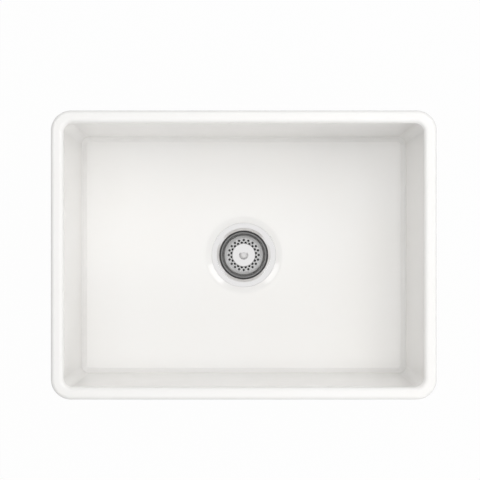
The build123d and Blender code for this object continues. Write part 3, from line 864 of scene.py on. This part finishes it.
    edge = shape.foot_edge
    foot = rounded_outline(
        [
            (shape.base_edge + edge, 0.0),
            (shape.foot_width, 0.0),
            (shape.foot_width, under),
            (shape.foot_width + 4 * edge, under),
        ],
        [0, edge, edge, 0],
        steps=5,
    )
    inward = (foot[:, :1] - shape.base_edge) / (shape.foot_width - shape.base_edge)
    foot_corner = (shape.outer_corner - shape.base_edge) * (1 - inward) + shape.foot_corner * inward
    add_loops(foot[:, :1], foot_corner, foot[:, 1:], 0.0)

    last_x, last_y = grids[-1][-1, :, 0], grids[-1][-1, :, 1]
    along = np.array([0.2, 0.4, 0.6, 0.8, 0.92])[:, None]
    under_x = last_x * (1 - along) + hole_border * columns.spoke_x * along
    under_y = last_y * (1 - along) + hole_border * columns.spoke_y * along
    add_rows(under_x, under_y, under, 0.0)
    return np.concatenate(grids), np.concatenate(marks)


class SINK_OT_bowl(bpy.types.Operator):
    """Makes the glazed fireclay bowl"""

    bl_idname = "sink.bowl"
    bl_label = "Glazed bowl"

    def execute(self, context):
        shape = context.scene.sink_bowl
        skin, glazed = bowl_surface(shape, *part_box("sink_bowl")[1])
        from_drain = np.hypot(skin[..., 0], skin[..., 1])
        # Painted shade round the drain dish: one out to dish_shade_full, fading to nought at dish_shade_end.
        thick_glaze_and_dish_shade = eased(np.clip((shape.dish_shade_end - from_drain) / (shape.dish_shade_end - shape.dish_shade_full), 0, 1))
        make_piece("glazed_bowl", "sink", "sink_bowl", [skin], marks=[("glaze", glazed), ("pool", thick_glaze_and_dish_shade)])
        return {"FINISHED"}


# The strainer and what clamps it

def outlet_cross(shape, low):
    """Bars across the outlet as one closed plate.

    At each angle the plate reaches to a bar's end, to the side of a bar, which is half the bar's width over
    the sine from its axis, or to the hub. Rows go from the middle of the top out over that border and back
    below.
    """
    angle = full_turn(CROSS_COLUMNS)
    quarter = math.pi / 2
    from_bar = np.abs((angle + quarter / 2) % quarter - quarter / 2)
    reach = shape.tube_radius + shape.outlet_wall / 2
    side = shape.cross_bar / 2 / np.maximum(np.sin(from_bar), 1e-6)
    border = np.maximum(np.minimum(side, reach), shape.cross_hub)
    top = low + shape.cross_thickness
    edge = shape.edge
    inset = np.array([1.0, 0.5, 0.0, 0.0, 0.0, 0.0, 0.5, 1.0])[:, None]
    drawn_in = np.array([0, 0, 3 * edge, 0, 0, 3 * edge, 0, 0])[:, None]
    rows_z = np.array([top, top, top, top - 2 * edge, low + 2 * edge, low, low, low])[:, None]
    return polar((border - drawn_in) * (1 - inset), rows_z, angle)


class SINK_OT_strainer(bpy.types.Operator):
    """Makes the strainer body: flange, throat, ledge, well and threaded outlet with its cross"""

    bl_idname = "sink.strainer"
    bl_label = "Strainer body"

    def execute(self, context):
        shape = context.scene.sink_strainer
        bowl = context.scene.sink_bowl
        flange, outlet_end, flange_top = extent("strainer_body")
        seat, flange_under = extent("flange_seal")[1:]
        thread_end = extent("locknut")[1] - shape.thread_spare
        well_floor = extent("stopper_seal")[1] - shape.stopper_gap
        well_under = well_floor - shape.wall
        throat = shape.thread_radius - shape.wall
        throat_top = flange_top - shape.lead_width * math.tan(shape.lead_slope)
        ledge = flange_top - shape.ledge_depth
        well = throat - shape.ledge_width
        well_foot = well - (ledge - well_floor) * math.tan(shape.well_taper)
        well_at_thread = well - (ledge - thread_end) * math.tan(shape.well_taper)
        lip = flange - shape.flange_lip
        outlet = shape.tube_radius + shape.outlet_wall
        edge = shape.edge
        body = rounded_outline(
            [
                (flange, seat + shape.lip_gap),
                (flange, flange_top),
                (throat + shape.lead_width, flange_top),
                (throat, throat_top),
                (throat, ledge),
                (well, ledge),
                (well_foot, well_floor),
                (shape.tube_radius, well_floor),
                (shape.tube_radius, outlet_end),
                (outlet, outlet_end),
                (outlet, well_under),
                (well_foot + shape.wall, well_under),
                (well_at_thread + shape.wall, thread_end),
                (shape.thread_radius, thread_end),
                (shape.thread_radius, flange_under),
                (lip, flange_under),
                (lip, seat + shape.lip_gap),
            ],
            [
                edge, shape.flange_edge, shape.lead_round, shape.throat_round, edge, edge, shape.well_foot,
                2 * edge, edge, 2 * edge, 2 * edge, shape.well_foot + shape.wall, edge, 2 * edge,
                shape.under_round, edge, edge,
            ],
            steps=10,
        )

        def beside(outline, radius):
            """Which points of an outline stand within two edge rounds of a radius."""
            return np.abs(outline[:, 0] - radius) < 2 * edge

        on_threads = beside(body, shape.thread_radius) | beside(body, outlet)
        body = divided(body, on_threads, shape.pitch / 8)
        skin = turned(body)
        for radius, low, high in (
            (outlet, outlet_end, well_under),
            (shape.thread_radius, thread_end, bowl.foot_height),
        ):
            cut = threaded(body, WIDE_COLUMNS, low, high, shape.pitch, shape.groove)
            skin = np.where(beside(body, radius)[:, None, None], cut, skin)
        colours = context.scene.sink_finishes
        # Painted shade: the throat below the lead-in and the well below the ledge are matt and darkened for
        # the shade down in the drain.
        below_ledge = body[:, 1:] <= ledge - edge
        below_lead = body[:, 1:] < throat_top
        matt_shade_levels = [colours.well_matt_shade, colours.throat_matt_shade]
        dull = np.broadcast_to(np.select([below_ledge, below_lead], matt_shade_levels, 0.0), skin.shape[:2])
        make_piece("strainer_body_spun", "sink", "strainer_body", [skin], marks=[("dull", dull)])
        cross = outlet_cross(shape, outlet_end + shape.cross_rise)
        make_piece("outlet_cross", "sink", "strainer_body", [cross], wrap_rows=False)
        return {"FINISHED"}


class SINK_OT_clamp(bpy.types.Operator):
    """Makes the sealing ring, gasket, fibre ring and locknut that hold the strainer in the floor"""

    bl_idname = "sink.clamp"
    bl_label = "Clamping stack"

    def execute(self, context):
        shape = context.scene.sink_strainer
        bowl = context.scene.sink_bowl
        edge = shape.edge
        seal_bore = bowl.hole_radius + shape.seal_inset
        ring_bore = shape.thread_radius + shape.ring_clearance
        for name, node, inner, rounding in (
            ("sealing_bead", "flange_seal", seal_bore, 2 * edge),
            ("gasket_ring", "rubber_gasket", ring_bore, 3 * edge),
            ("fibre_ring", "friction_ring", ring_bore, edge / 2),
        ):
            make_piece(name, "sink", node, [ring(node, inner, rounding)])

        reach, low, high = extent("locknut")
        bore = shape.thread_radius + shape.thread_clearance
        wall = bore + shape.nut_wall
        half_lug = math.asin(shape.lug_width / 2 / ((wall + reach) / 2))
        space = 2 * math.pi / shape.lugs
        from_lug = np.abs((full_turn(LUG_COLUMNS * shape.lugs) + space / 2) % space - space / 2)
        rise = np.clip((half_lug + shape.lug_flank / 2 - from_lug) / shape.lug_flank, 0, 1)
        outer = wall + (reach - wall) * eased(rise)
        inside = chamfered_bore(bore, low, high, 3 * edge)
        make_piece("lugged_locknut", "sink", "locknut", [nut(outer, inside, low, high, reach, 2 * edge)])
        return {"FINISHED"}


class SINK_OT_outlet(bpy.types.Operator):
    """Makes the tailpiece, its washer and the coupling nut"""

    bl_idname = "sink.outlet"
    bl_label = "Tailpiece and coupling"

    def execute(self, context):
        shape = context.scene.sink_strainer
        edge = shape.edge
        bore = shape.tube_radius - shape.tube_wall
        flange, low, high = extent("tailpiece")
        flange_under = high - shape.flange_thickness
        tube = rounded_outline(
            [
                (bore, low),
                (shape.tube_radius, low),
                (shape.tube_radius, flange_under),
                (flange, flange_under),
                (flange, high),
                (bore, high),
            ],
            [edge, 2 * edge, 2 * edge, 2 * edge, 2 * edge, 3 * edge],
        )
        make_piece("tailpiece_tube", "sink", "tailpiece", [turned(tube, MIDDLE_COLUMNS)])
        washer = ring("tailpiece_washer", shape.tube_radius, 1.5 * edge, MIDDLE_COLUMNS)
        make_piece("outlet_washer", "sink", "tailpiece_washer", [washer])

        corners, low, high = extent("coupling_nut")
        bore = shape.tube_radius + shape.outlet_wall + shape.thread_clearance
        lip = shape.tube_radius + shape.coupling_clearance
        inside = np.array([
            (lip + edge, low),
            (lip, low + edge),
            (lip, low + shape.coupling_lip - edge),
            (lip + edge, low + shape.coupling_lip),
            (bore, low + shape.coupling_lip),
            (bore, high - 3 * edge),
            (bore + 3 * edge, high),
        ])
        flats = corners * FLAT_TO_CORNER
        coupling = nut(hexagon(corners, NUT_COLUMNS), inside, low, high, flats - edge, 2 * edge)
        make_piece("hexagon_coupling", "sink", "coupling_nut", [coupling])
        return {"FINISHED"}


# The basket and its plunger

def pierced_band(shape, row_radius, inner, outer, top, under, first_angle):
    """Ring of equal cells, each with one drain hole in its middle.

    A cell is bounded by two radii and two angles. Its rows go from that border along spokes to the hole, over
    the hole's rounded edge, down its wall and back out to the border below.
    """
    half = math.pi / shape.holes
    arc = np.linspace(-half, half, CELL_COLUMNS + 1)
    radial = np.linspace(inner, outer, CELL_ROWS + 1)
    across = np.ones(CELL_COLUMNS)
    along = np.ones(CELL_ROWS)
    radius = np.concatenate([inner * across, radial[:-1], outer * across, radial[:0:-1]])
    angle = np.concatenate([arc[:-1], half * along, arc[:0:-1], -half * along])
    border = np.stack([radius * np.cos(angle), radius * np.sin(angle)], axis=-1)
    middle = np.array([row_radius, 0.0])
    spoke = unit(border - middle)
    edge = shape.hole_edge
    clear_of_edge = shape.hole_radius + 1.6 * edge
    hole = rounded_outline(
        [(clear_of_edge, top), (shape.hole_radius, top), (shape.hole_radius, under), (clear_of_edge, under)],
        [0, edge, edge, 0],
        steps=5,
    )
    rings = middle + spoke * hole[:, :1, None]
    halfway = (border + rings[0]) / 2
    plan = np.concatenate([border[None], halfway[None], rings, halfway[None], border[None]])
    heights = np.concatenate([[top, top], hole[:, 1], [under, under]])[:, None, None]
    turns = first_angle + 2 * half * np.arange(shape.holes)
    spin = np.stack([np.cos(turns), -np.sin(turns), np.sin(turns), np.cos(turns)], axis=-1).reshape(-1, 2, 2)
    placed = np.einsum("kij,rcj->krci", spin, plan)
    heights = np.broadcast_to(heights, (*placed.shape[:3], 1))
    return list(np.concatenate([placed, heights], axis=-1))


class SINK_OT_basket(bpy.types.Operator):
    """Makes the pierced basket cup with its guide bush, push-on ring and O-ring"""

    bl_idname = "sink.basket"
    bl_label = "Basket"

    def execute(self, context):
        shape = context.scene.sink_basket
        edge = shape.edge
        rim, under, rim_top = extent("basket_cup")
        base = under + shape.sheet
        ledge = rim_top - shape.rim_thickness
        foot_rise = math.tan(shape.foot_slope)
        knee_share = math.tan(shape.foot_slope / 2)
        wall_inside = shape.wall_radius - shape.sheet
        corner_z = base + shape.foot_width * foot_rise
        corner_inside = wall_inside - (rim_top - corner_z) * math.tan(shape.taper)
        corner_outside = corner_inside + shape.sheet
        knee_inside = corner_inside - shape.foot_width
        knee_outside = knee_inside + shape.sheet * knee_share
        corner_under = under + (corner_outside - knee_outside) * foot_rise
        row = knee_inside - shape.knee * knee_share - shape.hole_margin - shape.hole_radius
        second_row = row - shape.row_pitch
        band_outer = row + shape.row_pitch / 2
        band_middle = row - shape.row_pitch / 2
        band_inner = second_row - shape.row_pitch / 2
        bush = shape.post_radius + shape.slide + shape.bush_wall
        cup = rounded_outline(
            [
                (band_outer, base),
                (knee_inside, base),
                (corner_inside, corner_z),
                (wall_inside, rim_top),
                (rim, rim_top),
                (rim, ledge),
                (shape.wall_radius, ledge),
                (corner_outside, corner_under),
                (knee_outside, under),
                (band_outer, under),
            ],
            [
                0, shape.knee, shape.corner, shape.rim_bend, shape.rim_round,
                edge, edge, shape.corner + shape.sheet, shape.knee + shape.sheet, 0,
            ],
            steps=10,
        )
        eye = rounded_outline(
            [
                (band_inner, base),
                (bush + shape.slide, base),
                (bush + shape.slide, under),
                (band_inner, under),
            ],
            [0, edge, edge, 0],
        )
        columns = CELL_COLUMNS * shape.holes
        half_pitch = math.pi / shape.holes
        grids = [turned(cup, columns), turned(eye, columns)]
        grids += pierced_band(shape, row, band_middle, band_outer, base, under, 0.0)
        grids += pierced_band(shape, second_row, band_inner, band_middle, base, under, half_pitch)
        colours = context.scene.sink_finishes
        points = np.concatenate([grid.reshape(-1, 3) for grid in grids])
        # Painted shade: the cup's rim with its bend and its sloping foot are matt and darkened for the shade
        # that falls there.
        on_rim = points[:, 2] > rim_top - shape.rim_bend
        on_foot = (np.hypot(points[:, 0], points[:, 1]) > band_outer) & (points[:, 2] < corner_z)
        dull = np.select([on_rim, on_foot], [colours.rim_matt_shade, colours.foot_matt_shade], 0.0)
        make_piece("pierced_cup", "basket", "basket_cup", grids, wrap_rows=False, marks=[("dull", dull)])

        flange, low, high = extent("guide_bush")
        bore = shape.post_radius + shape.slide
        groove = bore + shape.o_ring + shape.groove_clearance
        middle = (low + high) / 2
        groove_half = shape.o_ring / 2 + shape.groove_clearance
        sleeve = rounded_outline(
            [
                (bore, low),
                (flange, low),
                (flange, under),
                (bush, under),
                (bush, high),
                (bore, high),
                (bore, middle + groove_half),
                (groove, middle + groove_half),
                (groove, middle - groove_half),
                (bore, middle - groove_half),
            ],
            [edge, 2 * edge, edge, edge, 2 * edge, 2 * edge, edge, edge, edge, edge],
        )
        make_piece("guide_sleeve", "basket", "guide_bush", [turned(sleeve, NARROW_COLUMNS)])

        push_on = ring("bush_ring", bush + shape.slide, edge, NARROW_COLUMNS)
        make_piece("push_on_ring", "basket", "bush_ring", [push_on])

        section = full_turn(O_RING_POINTS)
        round_section = shape.o_ring / 2
        torus = polar(
            (bore + round_section + round_section * np.cos(section))[:, None],
            (middle + round_section * np.sin(section))[:, None],
            full_turn(NARROW_COLUMNS),
        )
        make_piece("grip_o_ring", "basket", "post_o_ring", [torus])
        return {"FINISHED"}


class SINK_OT_plunger(bpy.types.Operator):
    """Makes the plunger: cap, post, stopper plate, rubber, washer and nut, and finishes the finger pull"""

    bl_idname = "sink.plunger"
    bl_label = "Plunger"

    def execute(self, context):
        shape = context.scene.sink_basket
        edge = shape.edge
        spigot_bore = shape.spigot_radius + shape.slide
        cap = ring("lift_cap", spigot_bore, [0, shape.cap_edge, shape.cap_edge, 0])
        make_piece("polished_cap", "plunger", "lift_cap", [cap])
        finish_node("finger_pull", satin_finish())

        cap_under, cap_top = extent("lift_cap")[1:]
        plate_under, plate_top = extent("stopper_plate")[1:]
        tip, head = extent("plunger_post")[1:]
        post = rounded_outline(
            [
                (0.0, head),
                (shape.rivet_radius, head),
                (shape.rivet_radius, cap_top),
                (shape.spigot_radius, cap_top),
                (shape.spigot_radius, cap_under),
                (shape.post_radius, cap_under),
                (shape.post_radius, plate_top),
                (shape.spigot_radius, plate_top),
                (shape.spigot_radius, tip),
                (0.0, tip),
            ],
            [0, 4 * edge, edge / 2, 0, 0, edge, edge, 0, 2 * edge, 0],
        )
        on_thread = (post[:, 0] > shape.spigot_radius - 2 * edge) & (post[:, 1] < plate_under)
        post = divided(post, on_thread, shape.pitch / 8)
        rod = threaded(post, NARROW_COLUMNS, tip, plate_under, shape.pitch, shape.groove)
        make_piece("plunger_rod", "plunger", "plunger_post", [rod], wrap_rows=False)

        for name, node, rounding in (
            ("backing_plate", "stopper_plate", edge),
            ("stopper_rubber", "stopper_seal", shape.stopper_edge),
            ("stopper_washer", "seal_washer", edge),
        ):
            rounds = [edge, rounding, rounding, edge]
            make_piece(name, "plunger", node, [ring(node, spigot_bore, rounds, MIDDLE_COLUMNS)])

        corners, low, high = extent("seal_nut")
        inside = chamfered_bore(spigot_bore, low, high, 2 * edge)
        flats = corners * FLAT_TO_CORNER
        end_nut = nut(hexagon(corners, MIDDLE_COLUMNS), inside, low, high, flats, edge)
        make_piece("hexagon_nut", "plunger", "seal_nut", [end_nut])
        return {"FINISHED"}


# The studio

def seen_directly(owner):
    """One for rays from the camera and for what gloss or glass shows of the surroundings, else nought."""
    path = add(owner, "ShaderNodeLightPath")
    mirrored = maths(owner, "MAXIMUM", path.outputs["Is Camera Ray"], path.outputs["Is Glossy Ray"])
    return maths(owner, "MAXIMUM", mirrored, path.outputs["Is Transmission Ray"])


def blended(owner, factor, first, second):
    """Shader between two shaders."""
    return add(owner, "ShaderNodeMixShader", {0: factor, 1: first, 2: second}).outputs[0]


def floor_finish(studio):
    """Pale floor that the camera sees nearly white, with the sink's soft shadow, and clear from below."""
    material = bpy.data.materials.new("Pale floor")
    material.use_nodes = True
    material.node_tree.nodes.clear()
    tone = (*[studio.floor_tone] * 3, 1.0)
    matt = add(material, "ShaderNodeBsdfDiffuse", {"Color": tone}).outputs[0]
    white = add(material, "ShaderNodeEmission", {"Strength": 1.0}).outputs[0]
    shaded = blended(material, studio.floor_shade, white, matt)
    upper = blended(material, seen_directly(material), matt, shaded)
    clear = add(material, "ShaderNodeBsdfTransparent").outputs[0]
    below = add(material, "ShaderNodeNewGeometry").outputs["Backfacing"]
    add(material, "ShaderNodeOutputMaterial", {"Surface": blended(material, below, upper, clear)})
    return material


def add_lamp(name, watts, width, height, distance, azimuth, elevation):
    """Lamp that faces the basin, at an azimuth from +X towards +Y and an elevation, both in degrees."""
    turn = math.radians(azimuth)
    rise = math.radians(elevation)
    way = Vector((math.cos(rise) * math.cos(turn), math.cos(rise) * math.sin(turn), math.sin(rise)))
    light = bpy.data.lights.new(name, "AREA")
    light.energy = watts
    light.shape = "RECTANGLE"
    light.size = width
    light.size_y = height
    lamp = bpy.data.objects.new(name, light)
    lamp.location = BASIN_MIDDLE + distance * way
    lamp.rotation_euler = way.to_track_quat("Z", "Y").to_euler()
    lamp.visible_camera = False
    bpy.context.scene.collection.objects.link(lamp)
    return lamp


class SINK_OT_stage(bpy.types.Operator):
    """Makes the pale floor, the soft light and the camera above the sink"""

    bl_idname = "sink.stage"
    bl_label = "Stage"

    def execute(self, context):
        scene = context.scene
        studio = scene.sink_studio
        half = studio.floor_size / 2
        ground = CAD_BOX[0][2]
        mesh = bpy.data.meshes.new("studio_floor")
        corners = [(-half, -half, ground), (half, -half, ground), (half, half, ground), (-half, half, ground)]
        mesh.from_pydata(corners, [], [(0, 1, 2, 3)])
        mesh.materials.append(floor_finish(studio))
        floor = bpy.data.objects.new("studio_floor", mesh)
        scene.collection.objects.link(floor)

        world = bpy.data.worlds.new("Studio")
        scene.world = world
        world.use_nodes = True
        world.node_tree.nodes.clear()
        soft, white = (
            add(world, "ShaderNodeBackground", {"Color": WHITE, "Strength": strength}).outputs[0]
            for strength in (studio.sky, 1.0)
        )
        sky = blended(world, seen_directly(world), soft, white)
        add(world, "ShaderNodeOutputWorld", {"Surface": sky})

        for name, way in LAMP_WAYS.items():
            watts = getattr(studio, name)
            lamp = add_lamp(name, watts, studio.lamp_size, studio.lamp_size, studio.lamp_distance, *way)
            lamp.visible_glossy = False
        for name, way in CATCH_WAYS.items():
            add_lamp(name, studio.catch, studio.catch_width, studio.catch_height, studio.lamp_distance, *way)

        view = bpy.data.cameras.new("camera")
        view.lens = studio.lens
        view.sensor_width = 36.0
        view.shift_x = studio.shift_x
        view.shift_y = studio.shift_y
        camera = bpy.data.objects.new("camera", view)
        camera.location = (0.0, 0.0, CAD_BOX[1][2] + studio.camera_height)
        scene.collection.objects.link(camera)
        scene.camera = camera
        scene.view_settings.view_transform = "Standard"
        return {"FINISHED"}


class SINK_PT_dressing(bpy.types.Panel):
    """Lists the makers of the sink's pieces"""

    bl_idname = "SINK_PT_dressing"
    bl_label = "Kitchen sink"
    bl_space_type = "VIEW_3D"
    bl_region_type = "UI"
    bl_category = "Sink"

    def draw(self, context):
        for maker in MAKERS:
            self.layout.operator(maker.bl_idname)


GROUPS = {
    "sink_bowl": BowlShape,
    "sink_strainer": StrainerShape,
    "sink_basket": BasketShape,
    "sink_finishes": Finishes,
    "sink_studio": Studio,
}
MAKERS = (
    SINK_OT_stage,
    SINK_OT_bowl,
    SINK_OT_strainer,
    SINK_OT_clamp,
    SINK_OT_outlet,
    SINK_OT_basket,
    SINK_OT_plunger,
)


def register():
    """Registers the properties, operators and panel."""
    for name, group in GROUPS.items():
        bpy.utils.register_class(group)
        setattr(bpy.types.Scene, name, bpy.props.PointerProperty(type=group))
    for kind in (*MAKERS, SINK_PT_dressing):
        bpy.utils.register_class(kind)


def unregister():
    """Removes what register added."""
    for kind in reversed((*MAKERS, SINK_PT_dressing)):
        bpy.utils.unregister_class(kind)
    for name, group in GROUPS.items():
        delattr(bpy.types.Scene, name)
        bpy.utils.unregister_class(group)


def main():
    """Makes the stage and every piece."""
    register()
    for maker in MAKERS:
        group, name = maker.bl_idname.split(".")
        getattr(getattr(bpy.ops, group), name)()
    bpy.context.view_layer.update()


if __name__ == "__main__":
    main()
